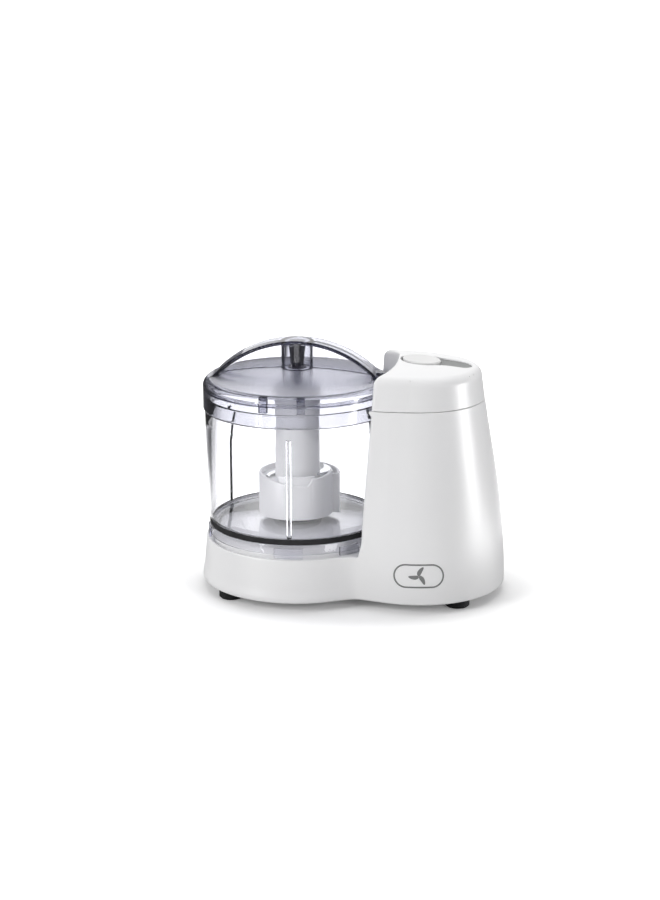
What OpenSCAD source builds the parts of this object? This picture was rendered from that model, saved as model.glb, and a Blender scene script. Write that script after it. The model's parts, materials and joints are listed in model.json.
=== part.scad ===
// Small food processor: a clear bowl on a belt-driven base, with the motor in a tower beside it.
// +Z is up, -Y is the front, and the tower stands towards +X. The origin is under the middle of
// the footprint, on the surface that the feet stand on. Sizes are in millimetres.

/* [Housing] */
// Radius of the base under the bowl, at its lowest edge
base_r = 64.1; // [63.8:0.1:64.6]
// Radius of the motor tower at its lowest edge
tower_r = 58.6; // [58.2:0.1:59.2]
// Distance from the bowl's axis to the tower's axis
axis_gap = 80.3; // [80:0.1:80.8]
// Height that the rubber feet lift the housing
foot_h = 6; // [5.5:0.1:6.5]
// Wall thickness of the white mouldings
wall = 2.4; // [2.2:0.1:2.6]
// Height of the seam between the housing and the top cap
seam_z = 130.6; // [129:0.2:132]
// Slope of the top cap, in degrees, falling away from the bowl
cap_slope = 4.6; // [4:0.1:6]

/* [Bowl and lid] */
// Outer radius of the bowl at its foot
bowl_foot_r = 59; // [58.8:0.1:59.1]
// Outer radius of the bowl just under the lid
bowl_top_r = 61.2; // [61:0.1:61.4]
// Height of the bowl's rim
rim_z = 130.6; // [130:0.1:131]
// Top of the bowl's floor
floor_z = 48; // [47.8:0.1:48.2]
// Outer radius of the lid's skirt
lid_r = 62.3; // [62.2:0.1:62.6]
// Top of the lid's raised rim
lid_top_z = 142.7; // [142.4:0.1:143.2]
// How far the lid's domed top rises above its rim
dome_rise = 5.6; // [5:0.1:6]
// Highest point of the arched handle
arch_top_z = 167.3; // [166:0.1:169]

/* [Blade] */
// Outer radius of the tall column
column_r = 14.9; // [14.7:0.1:15.1]
// Top of the tall column
column_top_z = 133.4; // [133:0.1:133.6]
// Largest radius of the spiral guard
guard_r = 28.5; // [28:0.1:29]
// Height of the spiral guard
guard_h = 26; // [25:0.5:27]

/* [Controls] */
// Radius of the pulse button
button_r = 12; // [11.6:0.1:12.2]
// How far the pulse button travels
button_travel = 2.5; // [2:0.1:2.6]

/* [Drive] */
// Radius of the spindle shaft
spindle_r = 4; // [3.9:0.1:4]
// Radius of the motor shaft
shaft_r = 3; // [2.9:0.1:3]
// Pitch radius of the large pulley
big_pulley_r = 30; // [29:0.5:31]
// Ratio of the belt drive
belt_ratio = 4; // [3.9:0.1:4.1]

/* [Hidden] */

$fn = 96;

// Colours
white = [0.93, 0.93, 0.92];
clear = [0.86, 0.88, 0.93, 0.35];
grey = [0.55, 0.56, 0.57];
dark = [0.16, 0.17, 0.19];
black = [0.05, 0.05, 0.05];
steel = [0.74, 0.75, 0.77];
copper = [0.72, 0.42, 0.22];
brass = [0.78, 0.65, 0.36];

// Gaps: between pieces that move apart, in a running fit, and between pieces that stay together
clear_gap = 0.5;
run_gap = 0.05;
seat_gap = 0.03;

// Axes
bowl_x = -(axis_gap + tower_r - base_r) / 2;
tower_x = bowl_x + axis_gap;
// The motor stands to the right of the tower's axis, clear of the hollow face
motor_shift = 17.7;
motor_x = tower_x + motor_shift;

// Base: the lip round the bowl's seat, the deck inside it and the pedestal under the bowl's floor
lip_z = 34.8;
deck_z = 31;
deck_h = 2.6;
seat_r = 59.5;
pedestal_r = 51.5;
pedestal_z = 44.2;
cavity_r = 49;
hub_r = 11;
bearing_r = 7;
concave_r = 68;

// Feet and screws of the bottom cover, its vent slots, and the cord's opening
foot_places = [
    [bowl_x - 40, -37], [bowl_x - 40, 37], [tower_x + 29, -38], [tower_x + 29, 38]
];
screw_places = [
    [bowl_x - 52, 0], [bowl_x + 40.5, -32], [bowl_x + 40.5, 32], [tower_x + 50, 0]
];
foot_r = 8;
foot_stem_r = 2.5;
screw_r = 1.6;
screw_head_r = 3.2;
screw_h = 7;
screw_play = 0.2;
vent = [30, 2.4, 10];
vent_pitch = 6;
gland_z = 22;
gland_r = 5.5;
gland_bore = 3.3;
gland_flange_r = gland_r + 1.5;

// Badge on the front of the tower
badge_w = 33;
badge_h = 16;
badge_z = 26;
badge_angle = 5;
badge_line = 1.2;

// Tower outline: height, round end's radius, and half the width of the flat flanks
TOWER = [
    [foot_h, tower_r, 50.9],
    [32, tower_r - 0.5, 50.7],
    [60, tower_r - 2.7, 50.0],
    [95, tower_r - 7.3, 47.6],
    [seam_z, tower_r - 13, 44.6]
];
CAP = [
    [seam_z, tower_r - 13, 44.6],
    [165, tower_r - 16.4, 41.0]
];
flank_start = 34;
seam_gap = 0.3;
crown_r = 227;
button_x = bowl_x + 82;
button_z = 155.6;

// Button, its recess and the switch under it, measured in the sloped frame of the cap
recess_r = 13.2;
recess_tail_x = 28;
recess_tail_r = 4;
recess_depth = 2.2;
inlay_h = 1.2;
button_h = 7;
button_rise = 0.7;
button_skirt_t = 1.8;
dish_r = 60;
stem_r = 3;
stem_low = button_rise - button_h - 5;
spring_r = 4.6;
spring_wire = 0.45;
spring_coils = 6;
spring_top = button_rise - 2.2;
spring_low = -button_h - 8.1;
// The switch's plunger stands just below the stem of a button that is pressed right down. Its
// bracket is off centre, because the button stands close to the tower's hollow face.
plunger_rise = 2.9;
bracket_z = stem_low - button_travel - clear_gap - plunger_rise;
bracket_shift = 6.2;
bracket_reach = 12.3;
bracket_wall = 2.4;
switch_h = 10;

// Drive train heights
cover_h = 2.5;
cover_top = foot_h + cover_h;
pulley_z = 11.5;
pulley_h = 7;
bearing_z = 21;
bearing_top = 41.5;
small_pulley_r = big_pulley_r / belt_ratio;
flange_r = 1.4;
flange_h = 0.8;
belt_h = 1.6;
belt_gap = 0.12;
hex_r = 5.6;
hex_z = 113.5;
hex_top = 124;
chimney_r = 9.5;
chimney_bore = 6.4;
chimney_top = 112;

// Motor heights and radii
chassis_z = 30;
chassis_h = 3;
grommet_h = 3;
bracket_h = 2;
low_bracket_z = chassis_z + chassis_h + grommet_h;
high_bracket_z = 96;
core_z = 50;
core_h = 22;
armature_r = 15.6;
stator_bore = 16.2;
fan_z = 102;
fan_r = 25;
fan_blades = 10;
bolt_gap = 25;
bolt_r = 1.77;
bolt_head_r = 3.4;
grommet_gap = 21;
grommet_r = 4.5;
motor_bearing_r = 6;
slots = 12;
coil_x = 18.6;
brush_z = 84;
brush_x = 17.5;
// Motor chassis: its plate, and its legs from the tower's axis
chassis_r = 52;
chassis_plate = [100, 80];
leg_places = [[-12, -38], [-12, 38], [28, -30], [28, 30]];
leg_r = 4;

// Bowl heights
skirt_z = 31.4;
ledge_z = 121.6;
rim_r = 60;
bowl_inner_foot_r = 57.2;
bowl_inner_rim_r = 58.2;
bowl_floor_h = 2.6;
gasket_low = 44;
gasket_high = 47.9;
gasket_depth = 1.6;
rib_r = 1.6;
rib_top = 110;

// Lid heights
skirt_low = 122.1;
skirt_bore = 60.4;
shoulder_r = 4.6;
rim_out = lid_r - shoulder_r;
dome_z = lid_top_z + dome_rise;
dome_r = (rim_out ^ 2 + dome_rise ^ 2) / (2 * dome_rise);
dome_t = 1.8;
arch_reach = 55;
arch_span = 102;
arch_rise = 20;
arch_t = 2.2;
arch_half_w = 7.5;
arch_end_half_w = 10.5;
web_t = 1.6;
tube_r = 10.4;
tube_t = 1.6;
pivot_r = 5;
pivot_ribs = 8;
pivot_tip_r = 2.5;
arch_r = ((arch_span / 2) ^ 2 + arch_rise ^ 2) / (2 * arch_rise);

// Guard
guard_z = 51;
guard_t = 2.2;
guard_turns = 1.08;
guard_start_r = 23.6;
guard_gap = 0.12;
// Height and turn of each pair of blades
blade_places = [[guard_z + 4, 55], [guard_z + guard_h - 5, -35]];
blade_t = 1.2;

// -- helpers ---------------------------------------------------------------------------------

module at_bowl() { translate([bowl_x, 0, 0]) children(); }

module at_tower() { translate([tower_x, 0, 0]) children(); }

module at_motor() { translate([motor_x, 0, 0]) children(); }

// A ring, or a disc where inner is 0
module ring(outer, inner, z, h) {
    translate([0, 0, z])
        difference() {
            cylinder(r = outer, h = h);
            if (inner > 0)
                translate([0, 0, -1]) cylinder(r = inner, h = h + 2);
        }
}

// A block centred in X and Y, standing on z
module block(size, x, y, z) {
    translate([x - size[0] / 2, y - size[1] / 2, z]) cube(size);
}

// The sloped frame of the cap, with its origin at the middle of the button's face
module control_frame() {
    translate([button_x, 0, button_z]) rotate([0, cap_slope, 0]) children();
}

// Points on an arc of a circle
function arc(cx, cy, r, a0, a1, n) = [
    for (i = [0 : n]) [cx + r * cos(a0 + (a1 - a0) * i / n), cy + r * sin(a0 + (a1 - a0) * i / n)]
];

// -- housing ---------------------------------------------------------------------------------

// The tower's solid between the heights of the rows given, made smaller all round by inset
module tower_solid(rows, inset, drop = 0, rise = 0) {
    low = rows[0];
    high = rows[len(rows) - 1];
    ends = concat(
        [[low[0] - drop, low[1], low[2]]],
        [for (row = rows) if (row[0] > low[0] && row[0] < high[0]) row],
        [[high[0] + rise, high[1], high[2]]]
    );
    at_tower()
        rotate_extrude()
            polygon(concat([[0, ends[0][0]]], [for (row = ends) [row[1] - inset, row[0]]],
                [[0, high[0] + rise]]));
    last = len(ends) - 1;
    translate([bowl_x + flank_start, 0, 0])
        rotate([90, 0, 90])
            linear_extrude(axis_gap - flank_start)
                polygon(concat([for (row = ends) [row[2] - inset, row[0]]],
                    [for (i = [last : -1 : 0]) [inset - ends[i][2], ends[i][0]]]));
}

// The hollow that the bowl and the lid stand in
module concave_cut(extra, z) {
    at_bowl() translate([0, 0, z]) cylinder(r = concave_r + extra, h = 200);
}

module base_outer() {
    at_bowl()
        rotate_extrude()
            polygon([[0, foot_h], [base_r, foot_h], [base_r - 0.3, foot_h + 3],
                [base_r - 1.3, 14], [base_r - 2.3, 25], [base_r - 2.9, lip_z - 1.2],
                [base_r - 3.8, lip_z], [0, lip_z]]);
}

module base_cavity() {
    low = deck_z - deck_h;
    at_bowl()
        rotate_extrude()
            polygon([[0, foot_h - 1], [base_r - wall, foot_h - 1], [base_r - 1.3 - wall, 14],
                [base_r - 2.6 - wall, low], [cavity_r, low], [cavity_r, pedestal_z - wall],
                [0, pedestal_z - wall]]);
}

module main_housing() {
    color(white)
        difference() {
            union() {
                difference() {
                    union() {
                        base_outer();
                        difference() {
                            tower_solid(TOWER, 0);
                            concave_cut(0, lip_z);
                        }
                    }
                    at_bowl() ring(seat_r, 0, deck_z, 20);
                    base_cavity();
                    difference() {
                        tower_solid(TOWER, wall, 1, 1);
                        concave_cut(wall, deck_z - deck_h);
                    }
                }
                // Pedestal under the bowl's floor, with the hub that holds the bearing
                at_bowl() {
                    difference() {
                        ring(pedestal_r, 0, deck_z - deck_h, pedestal_z - deck_z + deck_h);
                        ring(cavity_r, 0, deck_z - deck_h - 1, pedestal_z - deck_z + deck_h + 1 - wall);
                    }
                    ring(hub_r, 0, bearing_z, pedestal_z - bearing_z);
                }
            }
            at_bowl() ring(bearing_r, 0, bearing_z - 1, 60);
            translate([tower_x, 0, gland_z]) rotate([-90, 0, 0]) cylinder(r = gland_r, h = 80);
        }
}

module footprint(inset) {
    at_bowl() circle(r = base_r - inset);
    at_tower() circle(r = tower_r - inset);
    translate([bowl_x + flank_start, inset - TOWER[0][2]])
        square([axis_gap - flank_start, 2 * (TOWER[0][2] - inset)]);
}

module bottom_cover() {
    color(white)
        difference() {
            translate([0, 0, foot_h]) linear_extrude(cover_h) footprint(wall + 0.6);
            for (p = foot_places)
                translate([p[0], p[1], foot_h - 1]) cylinder(r = foot_stem_r + seat_gap, h = 10);
            for (p = screw_places)
                translate([p[0], p[1], foot_h - 1]) {
                    cylinder(r = screw_r + screw_play, h = 10);
                    cylinder(r = screw_head_r + screw_play, h = 2.2);
                }
            for (row = [-3 : 3])
                block(vent, tower_x + 8, row * vent_pitch, foot_h - 1);
        }
}

module rubber_feet() {
    color(black)
        for (p = foot_places)
            translate([p[0], p[1], 0]) {
                rotate_extrude()
                    polygon([[0, 0], [foot_r - 1, 0], [foot_r, 1], [foot_r, foot_h - 0.4],
                        [foot_r - 0.4, foot_h], [0, foot_h]]);
                cylinder(r = foot_stem_r, h = cover_top + 0.8);
            }
}

module cover_screws() {
    color(steel)
        for (p = screw_places)
            translate([p[0], p[1], foot_h + 0.1])
                difference() {
                    union() {
                        cylinder(r = screw_head_r, h = 1.1);
                        cylinder(r = screw_r, h = screw_h);
                    }
                    for (turn = [0, 90])
                        rotate([0, 0, turn]) block([4, 0.8, 1.4], 0, 0, -0.8);
                }
}

module cap_shape(inset) {
    intersection() {
        difference() {
            tower_solid(CAP, inset);
            concave_cut(inset, seam_z - 5);
        }
        control_frame()
            translate([0, 0, -crown_r]) rotate([0, 90, 0])
                cylinder(r = crown_r - inset, h = 240, center = true, $fn = 240);
    }
}

// Comma-shaped outline of the recess round the button
module recess_outline(inset) {
    hull() {
        circle(r = recess_r - inset, $fn = 32);
        translate([recess_tail_x, 0]) circle(r = recess_tail_r - inset, $fn = 24);
    }
}

module top_cap() {
    color(white)
        difference() {
            union() {
                difference() {
                    cap_shape(0);
                    cap_shape(wall);
                    translate([0, 0, seam_z - 1]) linear_extrude(1 + seam_gap) square(300, true);
                }
                // Bed under the recess, and the clips that hold the cap in the housing
                intersection() {
                    cap_shape(1);
                    control_frame()
                        translate([0, 0, -recess_depth - wall]) linear_extrude(wall + 0.4)
                            recess_outline(-wall);
                }
                for (side = [-1, 1]) {
                    block([12, 2, 14], tower_x - 16, side * 40.4, seam_z - 8);
                    block([12, 3.2, 3], tower_x - 16, side * 41, seam_z + 3);
                }
            }
            control_frame() {
                translate([0, 0, -recess_depth]) linear_extrude(10) recess_outline(0);
                translate([0, 0, -20]) cylinder(r = button_r + clear_gap, h = 30);
            }
        }
}

module control_inlay() {
    color(grey)
        control_frame()
            difference() {
                translate([0, 0, -recess_depth + 0.02]) linear_extrude(inlay_h)
                    recess_outline(0.15);
                translate([0, 0, -10]) cylinder(r = button_r + clear_gap, h = 20);
            }
}

module pulse_button() {
    color(white)
        control_frame() {
            translate([0, 0, button_rise - button_h])
                difference() {
                    cylinder(r = button_r, h = button_h);
                    translate([0, 0, -1]) cylinder(r = button_r - button_skirt_t, h = button_h - 1);
                    translate([0, 0, button_h + dish_r - 0.7]) sphere(r = dish_r, $fn = 180);
                }
            translate([0, 0, stem_low]) cylinder(r = stem_r, h = button_h + 3.2);
        }
}

module button_spring() {
    color(steel)
        control_frame()
            translate([0, 0, spring_low])
                linear_extrude(spring_top - spring_low, twist = -360 * spring_coils,
                    slices = 24 * spring_coils, $fn = 6)
                    translate([spring_r, 0]) circle(r = spring_wire, $fn = 6);
}

module switch_bracket() {
    color(white)
        control_frame() {
            difference() {
                block([27, 18, 2], bracket_shift, 0, bracket_z);
                block([7, 7, 10], 0, 0, bracket_z - 4);
            }
            // The short side clears the button's skirt; the tall one meets the bed of the recess
            block([bracket_wall, 18, 7.6], bracket_shift - bracket_reach, 0, bracket_z);
            block([bracket_wall, 6, 12.5], bracket_shift + bracket_reach, 0, bracket_z);
        }
}

module pulse_switch() {
    color(dark)
        control_frame() {
            block([19, 6.4, switch_h], bracket_shift - 1, 0, bracket_z - switch_h - seat_gap);
            block([3, 3, plunger_rise + 0.5], 0, 0, bracket_z - seat_gap - 0.5);
        }
}

module interlock_switch() {
    color(dark) {
        block([6.4, 12, 10], bowl_x + concave_r + wall + 4.4, 17, seam_z + 4);
        block([1.6, 15, 4], bowl_x + concave_r + wall + 1, 8.5, seam_z + 7);
    }
}

// Generic oval badge with a plain outline, set into the front of the tower
module badge_plate() {
    color(grey)
        at_tower()
            rotate([0, 0, badge_angle])
                intersection() {
                    difference() {
                        cylinder(r = tower_r + 0.35, h = 60);
                        translate([0, 0, -1]) cylinder(r = tower_r - 0.2, h = 62);
                    }
                    translate([0, -30, badge_z]) rotate([90, 0, 0])
                        linear_extrude(40)
                            difference() {
                                badge_outline(0);
                                badge_outline(badge_line);
                            }
                }
}

module badge_outline(inset) {
    square([badge_w - badge_h, badge_h - 2 * inset], center = true);
    for (side = [-1, 1])
        translate([side * (badge_w - badge_h) / 2, 0]) circle(r = badge_h / 2 - inset);
}

module cord_gland() {
    color(black)
        translate([tower_x, 0, gland_z]) rotate([-90, 0, 0])
            difference() {
                union() {
                    translate([0, 0, tower_r - 11]) cylinder(r = gland_r - seat_gap, h = 14);
                    translate([0, 0, tower_r + 0.4]) cylinder(r = gland_flange_r, h = 2.6);
                    translate([0, 0, tower_r - 11]) cylinder(r = gland_flange_r, h = 6);
                }
                translate([0, 0, tower_r - 20]) cylinder(r = gland_bore, h = 40);
            }
}

// -- motor -----------------------------------------------------------------------------------

module motor_chassis() {
    color(dark)
        difference() {
            at_tower() {
                translate([0, 0, chassis_z])
                    linear_extrude(chassis_h)
                        intersection() {
                            circle(r = chassis_r);
                            square(chassis_plate, center = true);
                        }
                for (p = leg_places)
                    translate([p[0], p[1], cover_top + seat_gap])
                        cylinder(r = leg_r, h = chassis_z - cover_top);
            }
            at_bowl() ring(concave_r + wall + 1, 0, chassis_z - 1, 10);
            at_motor() {
                ring(12, 0, chassis_z - 1, 10);
                for (side = [-1, 1])
                    translate([side * grommet_gap, 0, chassis_z - 1]) cylinder(r = 2, h = 10);
            }
        }
}

module motor_grommets() {
    color(black)
        at_motor()
            for (side = [-1, 1])
                translate([side * grommet_gap, 0, 0])
                    ring(grommet_r, 2, chassis_z + chassis_h, grommet_h);
}

module bracket_plate(z) {
    difference() {
        translate([0, 0, z])
            linear_extrude(bracket_h)
                union() {
                    square([50, 14], center = true);
                    circle(r = 15);
                    square([16, 62], center = true);
                }
        ring(motor_bearing_r, 0, z - 1, 10);
        for (side = [-1, 1]) {
            translate([0, side * bolt_gap, z - 1]) cylinder(r = 1.8, h = 10);
            translate([side * grommet_gap, 0, z - 1]) cylinder(r = 2, h = 10);
        }
    }
}

module motor_brackets() {
    color(steel)
        at_motor() {
            bracket_plate(low_bracket_z);
            bracket_plate(high_bracket_z);
        }
}

module motor_bolts() {
    color(steel)
        at_motor()
            for (side = [-1, 1])
                translate([0, side * bolt_gap, 0]) {
                    translate([0, 0, low_bracket_z - 2]) cylinder(r = bolt_r, h = 67);
                    translate([0, 0, high_bracket_z + bracket_h])
                        cylinder(r = bolt_head_r, h = 2.4, $fn = 6);
                    translate([0, 0, low_bracket_z - 2.4]) cylinder(r = bolt_head_r, h = 2.4);
                }
}

module motor_bearings() {
    color(brass)
        at_motor()
            for (z = [low_bracket_z - 1.5, high_bracket_z - 1.5])
                ring(motor_bearing_r - seat_gap, shaft_r + run_gap, z, 6);
}

module stator_core() {
    color(steel)
        at_motor()
            translate([0, 0, core_z])
                linear_extrude(core_h)
                    difference() {
                        intersection() {
                            square([46, 60], center = true);
                            circle(r = 31);
                        }
                        circle(r = stator_bore);
                        for (side = [-1, 1]) {
                            translate([0, side * bolt_gap]) circle(r = 1.9);
                            translate([side * coil_x, 0]) square([4, 26], center = true);
                        }
                    }
}

module field_coils() {
    color(copper)
        at_motor()
            for (side = [-1, 1])
                difference() {
                    block([3.4, 25, core_h + 14], side * coil_x, 0, core_z - 7);
                    block([6, 13, core_h + 2], side * coil_x, 0, core_z - 1);
                }
}

module brush_holders() {
    color(brass)
        at_motor()
            for (side = [-1, 1])
                difference() {
                    block([12, 8, 7], side * brush_x, 0, brush_z);
                    block([14, 5.1, 4.1], side * brush_x, 0, brush_z + 1.45);
                }
}

module carbon_brushes() {
    color(black)
        at_motor()
            for (side = [-1, 1])
                block([11, 5, 4], side * (brush_x - 1.4), 0, brush_z + 1.5);
}

module rotor_shaft() {
    color(steel) at_motor() ring(shaft_r, 0, pulley_z - 1.5, fan_z + 9 - pulley_z);
}

module armature_core() {
    color(steel)
        at_motor()
            translate([0, 0, core_z])
                linear_extrude(core_h)
                    difference() {
                        circle(r = armature_r);
                        circle(r = shaft_r + seat_gap);
                        for (i = [0 : slots - 1])
                            rotate(i * 360 / slots)
                                translate([armature_r - 2.4, 0]) square([6, 2.4], center = true);
                    }
}

module armature_windings() {
    color(copper)
        at_motor()
            for (z = [core_z - 6.5, core_z + core_h + 0.5])
                translate([0, 0, z])
                    rotate_extrude()
                        polygon([[shaft_r + 1.5, 0.6], [6, 0], [12, 0], [14, 1.5], [14, 4.5], [12, 6],
                            [6, 6], [shaft_r + 1.5, 5.4]]);
}

module commutator() {
    color(copper)
        at_motor()
            translate([0, 0, brush_z - 3])
                linear_extrude(12)
                    difference() {
                        circle(r = 10);
                        circle(r = shaft_r + seat_gap);
                        for (i = [0.5 : slots - 0.5])
                            rotate(i * 360 / slots) translate([10, 0]) square([3, 0.5], center = true);
                    }
}

module cooling_fan() {
    color(dark)
        at_motor()
            difference() {
                union() {
                    ring(fan_r, 0, fan_z, 1.6);
                    ring(7, 0, fan_z, 8);
                    for (i = [0 : fan_blades - 1])
                        rotate([0, 0, i * 360 / fan_blades]) block([17, 1.4, 7], fan_r - 9, 0, fan_z);
                }
                ring(shaft_r + seat_gap, 0, fan_z - 1, 20);
            }
}

// A toothed pulley with its pitch radius, and a flange below the belt
module pulley(pitch_r, bore, teeth) {
    difference() {
        union() {
            ring(pitch_r, 0, pulley_z, pulley_h);
            ring(pitch_r + flange_r, 0, pulley_z - flange_h, flange_h);
            ring(bore + 4, 0, pulley_z, pulley_h + 1.2);
        }
        ring(bore + seat_gap, 0, pulley_z - 2, 20);
        for (i = [0 : teeth - 1])
            rotate([0, 0, i * 360 / teeth]) block([1.2, 1.2, pulley_h + 1], pitch_r, 0, pulley_z);
    }
}

module motor_pulley() {
    color(brass) at_motor() pulley(small_pulley_r, shaft_r, 12);
}

module spindle_pulley() {
    color(grey) at_bowl() pulley(big_pulley_r, spindle_r, 48);
}

module belt_loop(extra) {
    hull() {
        at_bowl() circle(r = big_pulley_r + extra);
        at_motor() circle(r = small_pulley_r + extra);
    }
}

module drive_belt() {
    color(black)
        translate([0, 0, pulley_z + 0.3])
            linear_extrude(pulley_h - 0.6)
                difference() {
                    belt_loop(belt_gap + belt_h);
                    belt_loop(belt_gap);
                }
}

// -- spindle ---------------------------------------------------------------------------------

module drive_spindle() {
    color(steel)
        at_bowl() {
            ring(spindle_r, 0, cover_top + 0.8, hex_z - cover_top);
            translate([0, 0, hex_z]) cylinder(r = hex_r, h = hex_top - hex_z, $fn = 6);
        }
}

module spindle_bearing() {
    color(brass)
        at_bowl() ring(bearing_r - seat_gap, spindle_r + run_gap, bearing_z, bearing_top - bearing_z);
}

module spindle_circlip() {
    color(steel) at_bowl() ring(spindle_r + 2.6, spindle_r + seat_gap, bearing_top + 0.3, 1);
}

// -- electrics -------------------------------------------------------------------------------

module capacitor() {
    color("gold") block([8, 20, 14], tower_x + 34, 23.5, chassis_z + chassis_h + seat_gap);
}

module terminal_block() {
    color(white) block([22, 9, 10], tower_x + 10, 38, cover_top + seat_gap);
}

// A wire of round section through a list of points
module wire(points, r) {
    for (i = [0 : len(points) - 2]) {
        a = points[i];
        b = points[i + 1];
        d = b - a;
        run = norm(d);
        translate(a)
            rotate([0, acos(d[2] / run), atan2(d[1], d[0])])
                cylinder(r = r, h = run, $fn = 16);
    }
    for (i = [1 : len(points) - 2])
        translate(points[i]) sphere(r = r * 1.15, $fn = 16);
}

module inner_wires() {
    color("firebrick")
        wire([[tower_x + 4, 38, 19.7], [tower_x + 1, 43, 31], [tower_x - 4, 41, 100],
            [tower_x - 4, 33, 120], [tower_x + 2, 4, 126.6]], 1);
    color("royalblue")
        wire([[tower_x + 14, 38, 19.7], [tower_x + 10, 43, 31], [tower_x + 4, 41, 60],
            [tower_x + 1, 34, 78], [motor_x - 17.5, 5.3, 87.5]], 1);
}

// -- bowl ------------------------------------------------------------------------------------

module bowl() {
    ring_r = bowl_foot_r - gasket_depth;
    low = floor_z - bowl_floor_h;
    color(clear)
        at_bowl()
            union() {
                rotate_extrude()
                    polygon([[bowl_foot_r, skirt_z], [bowl_foot_r, gasket_low], [ring_r, gasket_low],
                        [ring_r, gasket_high], [bowl_foot_r, gasket_high],
                        [bowl_foot_r + 0.7, 57], [bowl_foot_r + 1.4, 78], [bowl_foot_r + 1.8, 91],
                        [bowl_top_r, 110], [bowl_top_r, ledge_z], [rim_r, ledge_z],
                        [rim_r, rim_z - 0.6], [rim_r - 0.6, rim_z],
                        [bowl_inner_rim_r + 0.4, rim_z], [bowl_inner_rim_r, rim_z - 0.4],
                        [bowl_inner_foot_r - 0.4, floor_z + 4], [bowl_inner_foot_r - 1.5, floor_z + 1],
                        [bowl_inner_foot_r - 3.4, floor_z],
                        [chimney_r + 1.5, floor_z], [chimney_r, floor_z + 1.5],
                        [chimney_r - 0.6, chimney_top], [chimney_bore, chimney_top],
                        [chimney_bore, low], [55, low], [55.6, low - 0.6],
                        [bowl_foot_r - 2.2, skirt_z]]);
                for (turn = [-90, 30, 150])
                    rotate([0, 0, turn])
                        translate([bowl_inner_foot_r - 0.2, 0, floor_z])
                            cylinder(r = rib_r, h = rib_top - floor_z, $fn = 24);
            }
}

module bowl_gasket() {
    color(black)
        at_bowl()
            ring(bowl_foot_r, bowl_foot_r - gasket_depth + seat_gap, gasket_low + seat_gap,
                gasket_high - gasket_low - 2 * seat_gap);
}

// -- blade -----------------------------------------------------------------------------------

module blade_hub() {
    socket_low = chimney_top + 0.8;
    color(white)
        at_bowl()
            difference() {
                union() {
                    rotate_extrude()
                        polygon([[0, guard_z], [column_r, guard_z], [column_r, column_top_z - 0.8],
                            [column_r - 0.8, column_top_z], [0, column_top_z]]);
                    // Ribs that carry the guard, each as long as the spiral is wide there
                    for (turn = [20, 140, 260]) {
                        end = guard_radius((300 - turn) / (360 * guard_turns)) - guard_t - guard_gap;
                        rotate([0, 0, turn])
                            translate([column_r - 1.5, -1, guard_z + 6])
                                cube([end - column_r + 1.5, 2, guard_h - 12]);
                    }
                }
                ring(chimney_r + 1.9, 0, guard_z - 1, socket_low - guard_z + 1);
                translate([0, 0, socket_low - 1])
                    cylinder(r = hex_r + 0.7, h = hex_top - socket_low + 1.6, $fn = 6);
                ring(pivot_tip_r + clear_gap, 0, column_top_z - 3, 10);
            }
}

function guard_radius(t) = guard_start_r + (guard_r - guard_start_r) * t;

// Snail-shaped wall that turns once round the column and overlaps its own start
module blade_guard() {
    steps = 40;
    outer = [for (i = [0 : steps])
        let (t = i / steps, a = -60 - 360 * guard_turns * t)
        [guard_radius(t) * cos(a), guard_radius(t) * sin(a)]];
    inner = [for (i = [steps : -1 : 0])
        let (t = i / steps, a = -60 - 360 * guard_turns * t)
        [(guard_radius(t) - guard_t) * cos(a), (guard_radius(t) - guard_t) * sin(a)]];
    color(white)
        at_bowl()
            difference() {
                translate([0, 0, guard_z]) linear_extrude(guard_h) polygon(concat(outer, inner));
                // The open upper edge dips towards the front
                translate([0, 0, guard_z + guard_h - 1.5])
                    rotate([5, 0, 0]) translate([-50, -50, 0]) cube([100, 100, 30]);
            }
}

// One crescent-shaped blade on each side of the column
module blade_outline() {
    difference() {
        for (turn = [0, 180])
            rotate(turn)
                intersection() {
                    translate([5, 3]) circle(r = 15.6);
                    circle(r = 20.8);
                }
        circle(r = column_r + seat_gap);
    }
}

module chopping_blades() {
    color(steel)
        at_bowl()
            for (p = blade_places)
                translate([0, 0, p[0]]) rotate([0, 0, p[1]]) linear_extrude(blade_t) blade_outline();
}

module hub_collar() {
    collar_z = floor_z + clear_gap;
    color(dark)
        at_bowl() ring(column_r + 0.6, chimney_r + 2.2, collar_z, guard_z - collar_z - seat_gap);
}

// -- lid -------------------------------------------------------------------------------------

module arch_disc(extra) {
    translate([0, 0, arch_top_z - arch_r]) rotate([90, 0, 0])
        cylinder(r = arch_r + extra, h = 60, center = true, $fn = 180);
}

// Points on the dome or on a surface below it, from one radius to another
function dome(drop, from, to) = arc(0, dome_z - dome_r, dome_r - drop,
    acos(from / (dome_r - drop)), acos(to / (dome_r - drop)), 6);

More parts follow.
